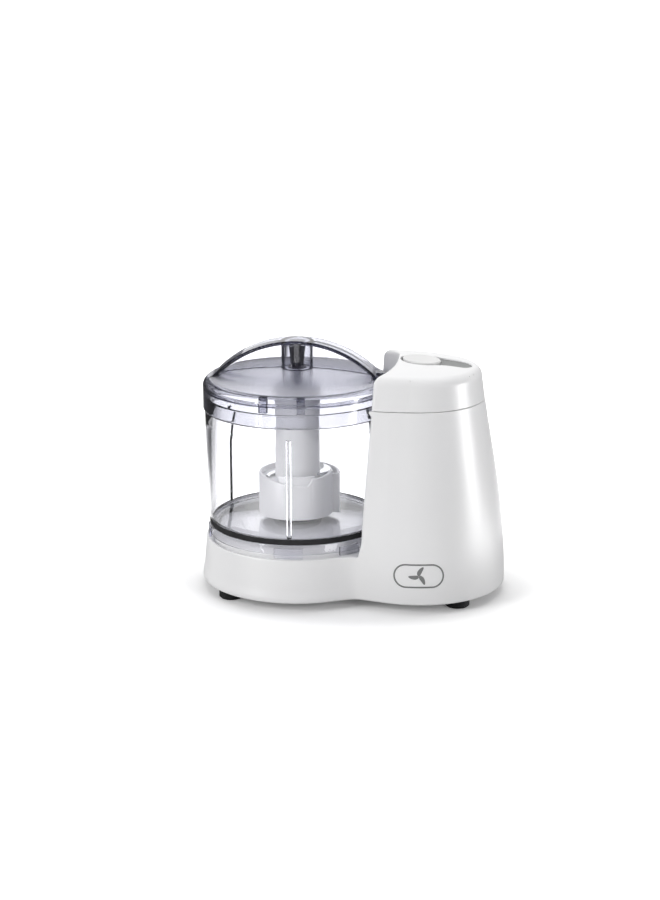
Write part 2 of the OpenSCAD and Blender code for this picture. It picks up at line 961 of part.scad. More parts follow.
module lid() {
    color(clear)
        at_bowl()
            difference() {
                union() {
                    rotate_extrude()
                        polygon(concat(
                            [[skirt_bore, skirt_low], [lid_r - 0.3, skirt_low], [lid_r, skirt_low + 1.5]],
                            arc(rim_out, lid_top_z - shoulder_r, shoulder_r, 0, 75, 5),
                            dome(0, rim_out, 0),
                            dome(dome_t, 0, rim_out - 0.6),
                            [[rim_out + 1.4, lid_top_z - 3.2], [skirt_bore, lid_top_z - 5.5]]));
                    // Arch, its web and the tube in the middle
                    intersection() {
                        difference() {
                            arch_disc(0);
                            arch_disc(-arch_t);
                        }
                        translate([0, 0, lid_top_z - 1.2])
                            linear_extrude(60)
                                polygon([[-arch_reach, -arch_end_half_w], [0, -arch_half_w],
                                    [arch_reach, -arch_end_half_w], [arch_reach, arch_end_half_w],
                                    [0, arch_half_w], [-arch_reach, arch_end_half_w]]);
                    }
                    difference() {
                        intersection() {
                            arch_disc(-0.5);
                            union() {
                                block([2 * arch_reach - 3, web_t, 60], 0, 0, lid_top_z - 2);
                                ring(tube_r, 0, lid_top_z, 60);
                            }
                        }
                        rotate_extrude()
                            polygon(concat([[0, seam_z], [rim_out, seam_z]],
                                dome(dome_t / 2, rim_out - 0.3, 0)));
                    }
                    // Tab that reaches towards the tower's switch
                    block([15, 8, 4.4], 58.5, 0, lid_top_z - 0.8);
                }
                intersection() {
                    arch_disc(-arch_t);
                    ring(tube_r - tube_t, 0, lid_top_z, 60);
                }
            }
}

module lid_pivot() {
    top = arch_top_z - arch_t - 0.5;
    color(dark)
        at_bowl()
            union() {
                // Post above the flange that closes the tube, and the tip that centres the column
                ring(pivot_r, 0, dome_z, top - dome_z);
                for (i = [0 : pivot_ribs - 1])
                    rotate([0, 0, i * 360 / pivot_ribs])
                        block([2.4, 1.2, top - dome_z - 1.5], pivot_r, 0, dome_z);
                ring(tube_r - tube_t - seat_gap, 0, dome_z - dome_t, dome_t);
                ring(pivot_tip_r, 0, column_top_z - 2.2, dome_z - column_top_z + 2);
            }
}

main_housing();
bottom_cover();
top_cap();
control_inlay();
badge_plate();
rubber_feet();
cover_screws();
cord_gland();
motor_chassis();
motor_grommets();
motor_brackets();
motor_bolts();
motor_bearings();
stator_core();
field_coils();
brush_holders();
carbon_brushes();
drive_belt();
spindle_bearing();
pulse_switch();
switch_bracket();
interlock_switch();
capacitor();
terminal_block();
inner_wires();
pulse_button();
button_spring();
rotor_shaft();
armature_core();
armature_windings();
commutator();
cooling_fan();
motor_pulley();
drive_spindle();
spindle_pulley();
spindle_circlip();
bowl();
bowl_gasket();
blade_hub();
blade_guard();
chopping_blades();
hub_collar();
lid();
lid_pivot();
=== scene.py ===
import json
import math

import bpy
import numpy as np
from mathutils import Matrix, Vector

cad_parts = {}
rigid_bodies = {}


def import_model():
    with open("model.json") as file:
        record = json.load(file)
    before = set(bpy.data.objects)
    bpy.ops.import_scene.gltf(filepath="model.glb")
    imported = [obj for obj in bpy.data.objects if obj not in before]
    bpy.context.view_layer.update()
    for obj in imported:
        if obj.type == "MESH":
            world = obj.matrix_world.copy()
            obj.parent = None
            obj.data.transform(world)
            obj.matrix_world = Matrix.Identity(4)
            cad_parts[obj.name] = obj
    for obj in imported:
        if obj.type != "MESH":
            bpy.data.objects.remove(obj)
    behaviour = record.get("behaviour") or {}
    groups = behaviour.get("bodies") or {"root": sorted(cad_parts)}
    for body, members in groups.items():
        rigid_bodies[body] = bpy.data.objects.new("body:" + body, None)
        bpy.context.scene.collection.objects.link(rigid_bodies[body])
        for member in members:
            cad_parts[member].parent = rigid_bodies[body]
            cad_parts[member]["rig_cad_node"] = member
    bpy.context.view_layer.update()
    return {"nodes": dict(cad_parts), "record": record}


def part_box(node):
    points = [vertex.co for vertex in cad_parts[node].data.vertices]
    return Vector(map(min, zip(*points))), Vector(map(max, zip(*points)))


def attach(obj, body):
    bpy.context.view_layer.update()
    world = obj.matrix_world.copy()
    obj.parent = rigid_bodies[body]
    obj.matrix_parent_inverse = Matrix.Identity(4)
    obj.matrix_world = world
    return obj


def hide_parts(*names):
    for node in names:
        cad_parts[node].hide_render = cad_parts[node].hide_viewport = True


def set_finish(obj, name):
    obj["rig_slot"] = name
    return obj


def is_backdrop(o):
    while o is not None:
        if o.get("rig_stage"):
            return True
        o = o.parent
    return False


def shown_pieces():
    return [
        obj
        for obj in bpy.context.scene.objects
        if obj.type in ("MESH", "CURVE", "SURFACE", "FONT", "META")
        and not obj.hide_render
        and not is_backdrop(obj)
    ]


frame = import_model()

# Lengths in this script are in millimetres from the bowl's axis, with +X towards the tower, until
# a mesh is made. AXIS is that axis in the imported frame, and MM turns the numbers into metres.
# The camera, the lights and the stage are in metres, and so is what a material measures.
MM = 0.001
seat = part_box("bowl_gasket")
AXIS = (seat[0].x + seat[1].x) / 2

FOOT_H = 6.0  # underside of the housing
DECK_Z = 31.0  # deck of the base under the bowl
DECK_UNDER = 28.4
LIP_Z = 34.8  # lip of the base round the bowl's foot
PEDESTAL_Z = 44.2  # top of the raised middle of the base
PEDESTAL_UNDER = 41.8
SEAM_Z = 130.6  # seam between the housing and the cap
SEAT_R = 59.5  # well in the base for the bowl
HOLLOW_R = 68.0  # hollow in the tower round the bowl and the lid
TOWER_X = 80.3  # middle of the tower at its foot
WALL = 2.4
CAP_WALL = 2.2
TILT = math.radians(4.6)  # slope of the recess with the button
BUTTON_AT = (82.0, 0.0, 155.6)  # middle of the button's face

# -- small helpers --------------------------------------------------------------------------------


def in_metres(verts):
    co = np.array(verts, float).reshape(-1, 3) * MM
    co[:, 0] += AXIS
    return co


def placed(name, mesh, body, slot, angle, stands_for):
    """A piece with this mesh that rides on a body. stands_for names the nodes that it replaces."""
    mesh.shade_smooth()
    mesh.set_sharp_from_angle(angle=math.radians(angle))
    obj = bpy.data.objects.new(name, mesh)
    bpy.context.scene.collection.objects.link(obj)
    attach(obj, body)
    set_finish(obj, slot)
    if stands_for:
        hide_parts(*stands_for)


def piece(name, part, body, slot, angle=35.0, stands_for=()):
    """A new piece from points in millimetres and the faces between them."""
    verts, faces = part
    mesh = bpy.data.meshes.new(name)
    mesh.from_pydata(in_metres(verts).tolist(), [], [tuple(int(i) for i in f) for f in faces])
    mesh.validate()
    mesh.update()
    placed(name, mesh, body, slot, angle, stands_for)


def rounded(points, radii, steps=5):
    """A polyline in (r, z) with its corners rounded. radii has one value for each point."""
    out = []
    n = len(points)
    for i, (p, r) in enumerate(zip(points, radii)):
        p = Vector(p)
        a, b = Vector(points[i - 1]), Vector(points[(i + 1) % n])
        if r <= 0:
            out.append((p.x, p.y))
            continue
        u, v = (a - p).normalized(), (b - p).normalized()
        angle = math.acos(max(-1.0, min(1.0, u.dot(v))))
        cut = min(r / math.tan(angle / 2), 0.48 * (a - p).length, 0.48 * (b - p).length)
        r = cut * math.tan(angle / 2)
        centre = p + (u + v).normalized() * (r / math.sin(angle / 2))
        start, end = p + u * cut, p + v * cut
        a0 = math.atan2(start.y - centre.y, start.x - centre.x)
        a1 = math.atan2(end.y - centre.y, end.x - centre.x)
        turn = (a1 - a0 + math.pi) % (2 * math.pi) - math.pi
        for k in range(steps + 1):
            t = a0 + turn * k / steps
            out.append((centre.x + r * math.cos(t), centre.y + r * math.sin(t)))
    return out


def at_angle(section, t):
    """The (r, z) points of a section, set at the angle t round the axis."""
    return [(r * math.cos(t), r * math.sin(t), z) for r, z in section]


def skin(sections, loop=False, closed=True, clockwise=False):
    """Points and faces of a row of sections with the same number of points. A loop runs back to
    its start, and any other row has its two ends closed. closed is about each section."""
    m, n = len(sections), len(sections[0])
    faces = []
    for i in range(m if loop else m - 1):
        here, there = i * n, (i + 1) % m * n
        for k in range(n if closed else n - 1):
            j = (k + 1) % n
            faces.append((here + k, there + k, there + j, here + j))
    if not loop:
        faces.append(tuple(range(n)))
        faces.append(tuple((m - 1) * n + k for k in reversed(range(n))))
    if clockwise:
        faces = [(f[0], *f[:0:-1]) for f in faces]
    return [v for section in sections for v in section], faces


def turned(profile, around=160, closed=True, angles=None, bend=None):
    """A profile of (r, z) turned round the axis. bend moves the points at each angle."""
    angles = angles if angles is not None else [2 * math.pi * k / around for k in range(around)]
    bend = bend or (lambda r, z, t: (r, z))
    sections = [at_angle([bend(r, z, t) for r, z in profile], t) for t in angles]
    return skin(sections, loop=True, closed=closed)


def weld(part):
    """Merges points that coincide, such as those on the axis, and drops faces that collapse."""
    verts, faces = part
    key, keep, index = {}, [], []
    for v in verts:
        k = (round(v[0], 4), round(v[1], 4), round(v[2], 4))
        if k not in key:
            key[k] = len(keep)
            keep.append(v)
        index.append(key[k])
    out = []
    for f in faces:
        g = []
        for i in f:
            j = index[i]
            if not g or (g[-1] != j and j not in g):
                g.append(j)
        if len(g) >= 3:
            out.append(tuple(g))
    return keep, out


def joined(*parts):
    verts, faces = [], []
    for v, f in parts:
        k = len(verts)
        verts += list(v)
        faces += [tuple(i + k for i in face) for face in f]
    return verts, faces


def lifted(part, matrix):
    """The part moved by a 4x4 matrix, in millimetres."""
    verts, faces = part
    return [tuple(matrix @ Vector(v)) for v in verts], faces


def control_frame():
    """The sloped frame of the cap, with its origin at the middle of the button's face."""
    return Matrix.Translation(BUTTON_AT) @ Matrix.Rotation(TILT, 4, "Y")


# -- solids from distance fields ------------------------------------------------------------------
# A field is negative inside the solid. contour() finds where it is zero and puts one point in each
# grid cell that it crosses, at the corner or edge that the field's own normals agree on.

HOLD = 0.03  # how firmly a cell's point is held to the middle of its crossings
LONGEST_STEP = 0.25


def both(a, b, r=0.0):
    """Inside a and b, with their meeting edge rounded by r."""
    if np.ndim(r) == 0 and r <= 0:
        return np.maximum(a, b)
    return np.minimum(-r, np.maximum(a, b)) + np.hypot(np.maximum(r + a, 0), np.maximum(r + b, 0))


def either(a, b, r=0.0):
    """Inside a or b, with a fillet of r between them."""
    if np.ndim(r) == 0 and r <= 0:
        return np.minimum(a, b)
    return np.maximum(r, np.minimum(a, b)) - np.hypot(np.maximum(r - a, 0), np.maximum(r - b, 0))


def minus(a, b, r=0.0):
    return both(a, -b, r)


def soft_max(a, b, k):
    h = np.maximum(k - np.abs(a - b), 0.0)
    return np.maximum(a, b) + h * h / (4.0 * np.maximum(k, 1e-6))


def slope_of(field, p, h=0.02):
    g = np.empty_like(p)
    for i in range(3):
        q0, q1 = p.copy(), p.copy()
        q0[:, i] -= h
        q1[:, i] += h
        g[:, i] = (field(*q1.T) - field(*q0.T)) / (2 * h)
    return g


def contour(field, xs, ys, zs):
    """Points and quads where the field is zero, on a grid with lines at xs, ys and zs."""
    axes = [np.array(a, float) for a in (xs, ys, zs)]
    value = field(*np.meshgrid(*axes, indexing="ij"))
    inside = value < 0
    n = value.shape
    cells = np.array([n[1] * n[2], n[2], 1])
    ids, points, normals, quads = [], [], [], []
    # Each grid edge that crosses the surface gives a quad between the four cells round it
    for axis in range(3):
        lo = [slice(None)] * 3
        hi = [slice(None)] * 3
        lo[axis], hi[axis] = slice(0, -1), slice(1, None)
        a, b = inside[tuple(lo)], inside[tuple(hi)]
        at = np.argwhere(a != b)
        u, w = [i for i in range(3) if i != axis]
        at = at[(at[:, u] > 0) & (at[:, w] > 0) & (at[:, u] < n[u] - 1) & (at[:, w] < n[w] - 1)]
        far = at.copy()
        far[:, axis] += 1
        p0 = np.stack([axes[i][at[:, i]] for i in range(3)], 1)
        p1 = np.stack([axes[i][far[:, i]] for i in range(3)], 1)
        v0, v1 = value[tuple(at.T)], value[tuple(far.T)]
        lo_t, hi_t = np.zeros(len(at)), np.ones(len(at))
        t = v0 / (v0 - v1)
        # False position finds the crossing, at t of the way along the edge
        for _ in range(3):
            p = p0 + (p1 - p0) * t[:, None]
            v = field(*p.T)
            same = (v < 0) == (v0 < 0)
            lo_t, hi_t = np.where(same, t, lo_t), np.where(same, hi_t, t)
            v0, v1 = np.where(same, v, v0), np.where(same, v1, v)
            t = lo_t + (hi_t - lo_t) * np.clip(v0 / np.where(v0 == v1, 1e-9, v0 - v1), 0.02, 0.98)
        p = p0 + (p1 - p0) * t[:, None]
        g = slope_of(field, p)
        g /= np.maximum(np.linalg.norm(g, axis=1), 1e-9)[:, None]
        ring = []
        for du, dw in ((-1, -1), (0, -1), (0, 0), (-1, 0)):
            c = at.copy()
            c[:, u] += du
            c[:, w] += dw
            ring.append(c @ cells)
            ids.append(ring[-1])
            points.append(p)
            normals.append(g)
        q = np.stack(ring, 1)
        start_in = a[tuple(at.T)]
        flip = start_in if axis == 1 else ~start_in
        q[flip] = q[flip][:, ::-1]
        quads.append(q)
    ids, points, normals = np.concatenate(ids), np.concatenate(points), np.concatenate(normals)
    quads = np.concatenate(quads)
    # Each cell's point is where the tangent planes at its crossings meet, by least squares, held
    # near the mean of the crossings
    used, where = np.unique(ids, return_inverse=True)
    m = len(used)
    count = np.bincount(where, minlength=m).astype(float)
    mean = np.stack([np.bincount(where, points[:, i], m) for i in range(3)], 1) / count[:, None]
    offset = (normals * (points - mean[where])).sum(1)
    matrix = np.zeros((m, 3, 3))
    target = np.zeros((m, 3))
    for i in range(3):
        target[:, i] = np.bincount(where, normals[:, i] * offset, m)
        for j in range(3):
            matrix[:, i, j] = np.bincount(where, normals[:, i] * normals[:, j], m)
    matrix += np.eye(3)[None] * (HOLD * count)[:, None, None]
    x = np.linalg.solve(matrix, target[:, :, None])[:, :, 0] + mean
    cell = np.stack([used // cells[0], (used // cells[1]) % n[1], used % n[2]], 1)
    low = np.stack([axes[i][cell[:, i]] for i in range(3)], 1)
    high = np.stack([axes[i][np.minimum(cell[:, i] + 1, n[i] - 1)] for i in range(3)], 1)
    x = np.clip(x, low, high)
    # Two short steps down the slope bring the points onto the surface
    for _ in range(2):
        v, g = field(*x.T), slope_of(field, x)
        step = (v / np.maximum((g * g).sum(1), 1e-6))[:, None] * g
        x = x - np.clip(step, -LONGEST_STEP, LONGEST_STEP)
    return x, np.searchsorted(used, quads)


def quad_piece(name, part, body, slot, angle=35.0, stands_for=()):
    """piece() for the large all-quad meshes of contour()."""
    verts, faces = part
    co = in_metres(verts)
    mesh = bpy.data.meshes.new(name)
    mesh.vertices.add(len(co))
    mesh.vertices.foreach_set("co", co.astype(np.float32).ravel())
    mesh.loops.add(faces.size)
    mesh.loops.foreach_set("vertex_index", faces.astype(np.int32).ravel())
    mesh.polygons.add(len(faces))
    mesh.polygons.foreach_set("loop_start", (np.arange(len(faces)) * 4).astype(np.int32))
    mesh.update(calc_edges=True)
    mesh.validate()
    placed(name, mesh, body, slot, angle, stands_for)


def span(*stops):
    """Grid lines: (from, to, step) stretches put end to end."""
    out = []
    for a, b, step in stops:
        k = max(1, round((b - a) / step))
        out += [a + (b - a) * i / k for i in range(k)]
    out.append(stops[-1][1])
    return out


# -- the housing's shape --------------------------------------------------------------------------

# Over the tower's height: the radius of its round end, and half its width at the flat flanks
ROUND = np.polynomial.Polynomial.fit(
    [6.5, 24.2, 59.3, 93.8, 114.3, 127.9, 138.0, 150.8],
    [58.5, 58.46, 56.0, 51.4, 48.3, 46.0, 44.7, 43.4], 4,
)
FLANK = np.polynomial.Polynomial.fit(
    [6, 32, 60, 95, 130, 150], [50.9, 50.7, 50.0, 47.9, 44.9, 43.6], 3,
)
LEAN, LEAN_OVER = 2.3, 124  # the tower's middle moves in by LEAN over this height
WAIST = 7.0  # softness of the waist between the base and the tower
PEDESTAL_FOOT = 26.0  # the pedestal starts inside the deck
PEDESTAL_ROOM_R = 49.0
BOSS_R, BOSS_FOOT = 11.0, 21.0  # boss round the spindle's bore
BORE_R = 7.0
GLAND_Z, GLAND_R = 22.0, 5.5  # hole for the cord's gland


def tower_centre(z):
    return TOWER_X - (np.clip(z, FOOT_H, 160) - FOOT_H) / LEAN_OVER * LEAN


def base_radius(z):
    return np.interp(z, [6, 9, 14, 25, 34.8], [63.9, 63.8, 62.9, 61.9, 61.2])


def half_width(x, z):
    """Half the width of the housing's outline at x, with a soft waist between base and tower."""
    c, r, rb = tower_centre(z), ROUND(z), base_radius(z)
    tower = np.sqrt(np.maximum(r * r - (x - c) ** 2, 0.0))
    base = np.sqrt(np.maximum(rb * rb - x * x, 0.0))
    near_tower = WAIST * np.clip((c - x) / (2 * WAIST), 0.02, 1)
    near_base = WAIST * np.clip(x / (2 * WAIST), 0.02, 1)
    return soft_max(soft_max(tower, FLANK(z) + 0 * x, near_tower), base, near_base)


def outline(x, y, z):
    """Distance from the housing's outline at height z, about right near the outline."""
    c, r = tower_centre(z), ROUND(z)
    h = 0.05
    slope = (half_width(x + h, z) - half_width(x - h, z)) / (2 * h)
    side = (np.abs(y) - half_width(x, z)) / np.sqrt(1 + np.minimum(slope * slope, 4.0))
    right = np.hypot(x - c, y) - r
    left = np.hypot(x, y) - base_radius(z)
    return np.where(x > c, right, np.where(x < 0, left, side))


def housing_field(x, y, z):
    rho = np.hypot(x, y)
    plan = outline(x, y, z)
    top = either(z - LIP_Z, np.maximum(HOLLOW_R - rho, z - SEAM_Z), 0.8)
    edge = np.interp(z, [36, 44, 127, 129.5], [0.7, 3.2, 3.2, 0.4])
    solid = both(both(plan, top, edge), FOOT_H - z, 0.8)
    solid = minus(solid, np.maximum(rho - SEAT_R, DECK_Z - z), 0.5)
    pedestal = both(rho - np.interp(z, [31, 36, 43], [56.2, 55.6, 52.0]), z - PEDESTAL_Z, 1.6)
    solid = either(solid, np.maximum(pedestal, PEDESTAL_FOOT - z), 0.0)
    # One room runs from the tower to under the deck and up into the pedestal, open at the bottom
    room = np.maximum(plan + WALL, np.minimum(z - DECK_UNDER, HOLLOW_R + WALL - rho))
    room = np.minimum(room, np.maximum(rho - PEDESTAL_ROOM_R, z - PEDESTAL_UNDER))
    solid = np.maximum(solid, -room)
    solid = np.minimum(solid, np.maximum(rho - BOSS_R, np.maximum(BOSS_FOOT - z, z - PEDESTAL_Z)))
    solid = np.maximum(solid, BORE_R - rho)
    gland = np.maximum(np.hypot(x - TOWER_X, z - GLAND_Z) - GLAND_R, -y)
    return np.maximum(solid, -gland)


def crown(x, y):
    """Height of the cap's top, which falls away from a point near its bowl side."""
    return 156.4 - 0.0011 * (x - 53) ** 2 - 0.0022 * y * y


def in_control_frame(x, y, z):
    dx, dz = x - BUTTON_AT[0], z - BUTTON_AT[2]
    c, s = math.cos(TILT), math.sin(TILT)
    return c * dx - s * dz, y, s * dx + c * dz


RECESS_R = 13.9  # ring of the recess round the button
RECESS_DEPTH = 2.2
HOLE_R = 12.85  # hole in the cap for the button


def recess_plan(u, v):
    """The comma round the button: a ring that runs into a fat tail towards the right."""
    # The tail is a bent capsule that narrows away from the button and ends round
    t = np.clip((u - 4) / 26.0, 0, 1)
    mid = 1.2 - 2.6 * t * t
    tail = np.hypot(u - np.clip(u, 4, 24.5), v - mid) - (11.2 - 2.6 * t)
    return either(np.hypot(u, v) - RECESS_R, tail, 6.0)


def cap_field(x, y, z):
    plan = outline(x, y, z)
    # The face towards the bowl comes forward a little in the middle, near its top
    nose = 1.1 * np.exp(-((y / 14) ** 2)) * np.clip((z - 138) / 8, 0, 1)
    hollow = HOLLOW_R - nose - np.hypot(x, y)
    corner = np.interp(np.abs(y), [9, 34], [0.5, 3.2])
    shell = both(both(plan, z - crown(x, y), 5.0), hollow, corner)
    shell = both(shell, SEAM_Z + 0.35 - z, 0.4)
    room = np.maximum(np.maximum(plan, hollow), z - crown(x, y)) + CAP_WALL
    solid = np.maximum(shell, -room)
    u, v, w = in_control_frame(x, y, z)
    recess = recess_plan(u, v)
    bed = np.maximum(np.maximum(recess - 2.0, np.abs(w + 3.4) - 1.2), shell)
    solid = minus(np.minimum(solid, bed), np.maximum(recess, -RECESS_DEPTH - w), 0.5)
    return np.maximum(solid, np.minimum(HOLE_R - np.hypot(u, v), w + 12))


housing_grid = (
    span((-65.5, 140.5, 0.9)),
    span((-65.5, 65.5, 0.9)),
    span((5.4, 9.4, 0.8), (9.4, 27.4, 1.8), (27.4, 46.2, 0.7), (46.2, 127, 2.0), (127, 131.2, 0.6)),
)
cap_grid = (
    span((44.0, 126.0, 0.75)),
    span((-48.0, 48.0, 0.75)),
    span((130.5, 132.5, 0.4), (132.5, 158.0, 0.75)),
)
housing = contour(housing_field, *housing_grid)
quad_piece("housing_shell", housing, "root", "white_plastic", 32, ("main_housing",))
cap = contour(cap_field, *cap_grid)
quad_piece("cap_shell", cap, "root", "white_plastic", 32, ("top_cap",))

# -- button, inlay and badge ----------------------------------------------------------------------

BUTTON_R = 12.35
BUTTON_RISE = 0.3  # how far the button's rim stands over the middle of the recess
SKIRT_R = BUTTON_R - 1.8  # inside of the button's skirt
STEM_R = 2.9
BUTTON_FLOOR = -1.9  # underside of the button's face
SHOULDER = BUTTON_RISE - 0.05  # where the rounded rim meets the dished face

rim = rounded(
    [(SKIRT_R, -6.3), (BUTTON_R, -6.3), (BUTTON_R, BUTTON_RISE), (BUTTON_R - 1.4, SHOULDER)],
    [0.2, 0.3, 0.9, 0.0],
)
face = [(r, SHOULDER - 0.75 * (1 - (r / 10.6) ** 2)) for r in (9.6, 8.4, 6.8, 5, 3.2, 1.5, 0.0)]
stem = [(0.0, -11.3), (STEM_R, -11.3), (STEM_R, BUTTON_FLOOR), (SKIRT_R, BUTTON_FLOOR)]
button = lifted(weld(turned(stem + rim + face, 96, closed=False)), control_frame())
piece("button_cap", button, "button", "white_plastic", 35, ("pulse_button",))


def coil(radius, wire, low, high, turns, per_turn=24, sides=8):
    """A round wire wound upwards, closed at both ends."""
    sections = []
    for i in range(per_turn * turns + 1):
        z = low + (high - low) * i / (per_turn * turns)
        ring = [2 * math.pi * k / sides for k in range(sides)]
        section = [(radius + wire * math.cos(b), z + wire * math.sin(b)) for b in ring]
        sections.append(at_angle(section, 2 * math.pi * i / per_turn))
    return skin(sections)


# The spring has its pressed height, so that the button never comes down into it
spring = lifted(coil(4.6, 0.45, -14.65, -5.0, 6), control_frame())
piece("coil_spring", spring, "root", "steel", 50, ("button_spring",))


def inlay_field(x, y, z):
    u, v, w = in_control_frame(x, y, z)
    plate = both(recess_plan(u, v) + 0.12, np.abs(w + 1.75) - 0.42, 0.25)
    return np.maximum(plate, HOLE_R + 0.05 - np.hypot(u, v))


inlay = contour(inlay_field, span((66, 116, 0.55)), span((-16, 16, 0.55)), span((150.0, 156.5, 0.4)))
quad_piece("control_trim", inlay, "root", "grey_trim", 32, ("control_inlay",))

BADGE_Z = 26.0
BADGE_TURN = math.radians(5)  # the badge's middle, round to the right from the tower's front
BADGE_R = 58.5  # about the tower's radius there
BADGE_SIZE, BADGE_LINE = (33.0, 16.0), 1.0  # outline of the oval and the width of its line
BADGE_IN, BADGE_OUT = -0.25, 0.16  # from under the tower's surface to just over it
PETALS, PETAL_POINTS = 3, 24


def front_point(s, z, out):
    """A point over the tower's front, s millimetres round from the badge's middle."""
    turn = BADGE_TURN + s / BADGE_R
    c, r = float(tower_centre(z)), float(ROUND(z))
    x = c + r * math.sin(turn)
    y = -float(half_width(np.array(x), z)) if x < c else -r * math.cos(turn)
    n = Vector((math.sin(turn), -math.cos(turn)))
    return (x + n.x * out, y + n.y * out, z)


def stadium(width, height, n=96):
    """A rounded bar's outline in (s, z) round the badge's middle."""
    flat, r = width - height, height / 2
    length = 2 * flat + 2 * math.pi * r
    points = []
    for k in range(n):
        t = (k / n) * length
        side = 1
        # The second half is the first one turned half way round
        if t >= flat + math.pi * r:
            t -= flat + math.pi * r
            side = -1
        if t < flat:
            s, up = t - flat / 2, -r
        else:
            a = (t - flat) / r - math.pi / 2
            s, up = flat / 2 + r * math.cos(a), r * math.sin(a)
        points.append((side * s, BADGE_Z + side * up))
    return points


def band(outer, inner):
    """A raised flat loop on the tower's front between two outlines in (s, z)."""
    sections = []
    for a, b in zip(outer, inner):
        corners = ((a, BADGE_IN), (a, BADGE_OUT), (b, BADGE_OUT), (b, BADGE_IN))
        sections.append([front_point(*at, out) for at, out in corners])
    return skin(sections, loop=True)


def petal(turn):
    """One curved petal of a generic pinwheel, a plain sign for a turning blade."""
    n = PETAL_POINTS
    points = []
    for k in range(n):
        t = 2 * math.pi * k / n
        u, v = 1.5 * math.cos(t), 3.0 * math.sin(t) + 3.1
        u += 0.075 * v * v
        c, s = math.cos(turn), math.sin(turn)
        points.append((u * c - v * s, BADGE_Z + u * s + v * c))
    middle = (sum(q[0] for q in points) / n, sum(q[1] for q in points) / n)
    verts = [front_point(*q, out) for out in (BADGE_OUT, BADGE_IN) for q in points]
    verts += [front_point(*middle, out) for out in (BADGE_OUT, BADGE_IN)]
    faces = []
    for k in range(n):
        j = (k + 1) % n
        faces += [(k, j, 2 * n), (n + j, n + k, 2 * n + 1), (n + k, n + j, j, k)]
    return verts, faces


oval = band(stadium(*BADGE_SIZE), stadium(*(size - 2 * BADGE_LINE for size in BADGE_SIZE)))
badge = joined(oval, *(petal(2 * math.pi * k / PETALS) for k in range(PETALS)))
piece("front_badge", badge, "root", "grey_trim", 30, ("badge_plate",))

# -- bowl -----------------------------------------------------------------------------------------

BOWL_TOP = 130.6
BOWL_R = 61.2  # the wall outside, near its top
TUBE_R = 6.4  # bore of the tube that the spindle comes up through
GASKET_Z = (44.0, 47.9)  # groove round the foot for the ring
RIBS = [math.radians(a) for a in (-88.6, 31.4, 151.4)]
RIB_R = 1.6
RIB_TOP = 113.4
RIB_FADE = 0.6  # the rib runs out over this height
RIB_REACH = 1.65  # finer angles this far to each side of a rib
WALL_R = 57.2  # the wall inside, half way up
EVERY = 120  # what repeats round the bowl comes three times


def with_ribs(r, z, t):
    """Pulls the inner wall, which leans out by 0.012, in where a rib runs up it."""
    if not (50 < r < 58.7 and 48.2 < z < 131):
        return r, z
    for a in RIBS:
        s = WALL_R * ((t - a + math.pi) % (2 * math.pi) - math.pi)
        if abs(s) < RIB_R and r < 57.0 + 0.012 * (z - 50) + 0.6:
            fade = max(0.0, min(1.0, (RIB_TOP + RIB_FADE - z) / RIB_FADE))
            depth = math.sqrt(RIB_R * RIB_R - s * s) * 1.15
            return r - depth * fade, z
    return r, z


def bowl_angles():
    """Even steps round the bowl and finer ones at the ribs, with no two almost the same."""
    angles = {2 * math.pi * k / 144 for k in range(144)}
    for a in RIBS:
        angles |= {(a + (k / 9) * RIB_REACH / WALL_R) % (2 * math.pi) for k in range(-9, 10)}
    kept = []
    for a in sorted(angles):
        if not kept or a - kept[-1] > 0.0012:
            kept.append(a)
    return kept


def arc_pad(start, end, r0, r1, z0, z1, steps=14):
    """A closed curved block between two angles in degrees."""
    section = ((r0, z0), (r1, z0), (r1, z1), (r0, z1))
    angles = [math.radians(start + (end - start) * i / steps) for i in range(steps + 1)]
    return skin([at_angle(section, a) for a in angles])


wall_out = rounded(
    [(59.0, 31.4), (59.0, 43.9), (56.9, 43.9), (56.9, 48.0), (59.0, 48.0), (59.7, 57), (60.4, 78),
     (60.8, 91), (BOWL_R, 110), (BOWL_R, 121.6), (60.0, 121.9), (60.0, BOWL_TOP), (58.2, BOWL_TOP)],
    [0.5, 0.2, 0.15, 0.15, 0.3, 0, 0, 0, 0, 0.4, 0.2, 0.7, 0.5], 4,
)
# The points are close together where the ribs end
wall_in = [
    (58.0, 122), (57.85, 115), (57.83, 113.9), (57.82, 113.7), (57.81, 113.5), (57.8, 113.3),
    (57.78, 112.6), (57.6, 98), (57.4, 86), (57.2, 74), (57.0, 62), (56.85, 54),
]
floor_and_tube = rounded(
    [(56.8, 53), (56.6, 46.6), (11.0, 46.6), (8.9, 112), (TUBE_R, 112), (TUBE_R, 45.0),
     (55.0, 45.0), (56.8, 31.4)],
    [0, 4.0, 1.6, 1.6, 0.3, 0.3, 0.6, 0.4], 6,
)
bowl = [turned(wall_out + wall_in + floor_and_tube, angles=bowl_angles(), bend=with_ribs)]
tabs = []
for turn in range(0, 360, EVERY):
    # Bayonet tabs on the skirt under the ring, and raised tracks for the lid near the rim
    tabs.append(arc_pad(turn - 98, turn - 80, 58.8, 60.3, 35.3, 42.0))
    tabs.append(arc_pad(turn - 56, turn - 42, 58.8, 60.1, 35.3, 41.2))
    bowl.append(arc_pad(turn - 107, turn - 79, 59.8, 60.32, 122.4, 129.6))
piece("bowl_shell", joined(*bowl), "bowl", "clear_plastic", 40, ("bowl",))
piece("bowl_tabs", joined(*tabs), "bowl", "clear_plastic", 30)


def ring(r0, r1, radii, gap, steps):
    """A ring in the gasket's groove, clear of its edges by the gap."""
    low, high = GASKET_Z[0] + gap, GASKET_Z[1] - gap
    return turned(rounded([(r0, low), (r1, low), (r1, high), (r0, high)], radii, steps), 160)


